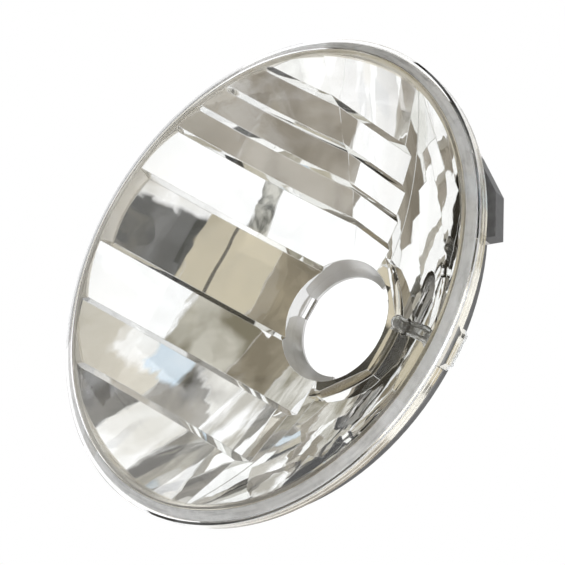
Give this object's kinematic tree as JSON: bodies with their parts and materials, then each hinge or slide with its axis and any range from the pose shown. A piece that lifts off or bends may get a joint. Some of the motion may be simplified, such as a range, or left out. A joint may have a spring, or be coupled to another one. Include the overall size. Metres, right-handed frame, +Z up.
{
  "type": "motorcycle headlight insert",
  "caption": "Round headlight insert: clear lens bonded over a stepped mirror bowl, with a keyed bulb seat, a hinged wire bulb clip and a small position bulb.",
  "frame": {"origin": "on the optical axis, in the plane that the main bulb's flange seats on", "axes": "-Y the way the lamp shines, +Y rearwards out of the bulb seat, +Z up, +X to the right as seen from in front"},
  "size_m": [0.17, 0.0768, 0.1727],
  "materials": {
    "clear_plastic": "clear moulded polycarbonate, polished",
    "mirror_coat": "vacuum-metallised moulded plastic",
    "sealant": "cured bonding sealant with small bubbles",
    "plated_steel": "zinc-plated pressed sheet",
    "screw_steel": "zinc-plated",
    "spring_wire": "drawn spring wire",
    "bulb_glass": "clear blown glass",
    "filament_wire": "drawn wire",
    "holder_plastic": "moulded black plastic",
    "contact_brass": "stamped brass"
  },
  "bodies": {
    "lamp": {"lens": "clear_plastic", "reflector": "mirror_coat", "sealant_bead": "sealant", "bulb_seat_ring": "plated_steel", "seat_screws": "screw_steel", "position_bulb_glass": "bulb_glass", "position_bulb_filament": "filament_wire", "position_bulb_holder": "holder_plastic", "position_contacts": "contact_brass"},
    "clip": {"bulb_clip": "spring_wire"}
  },
  "joints": [
    {"name": "clip_hinge", "type": "hinge", "parent": "lamp", "child": "clip", "pos_m": [-0.0275, 0.0017, 0], "axis": [0, 0, 1], "range_deg": [0, 115]}
  ]
}
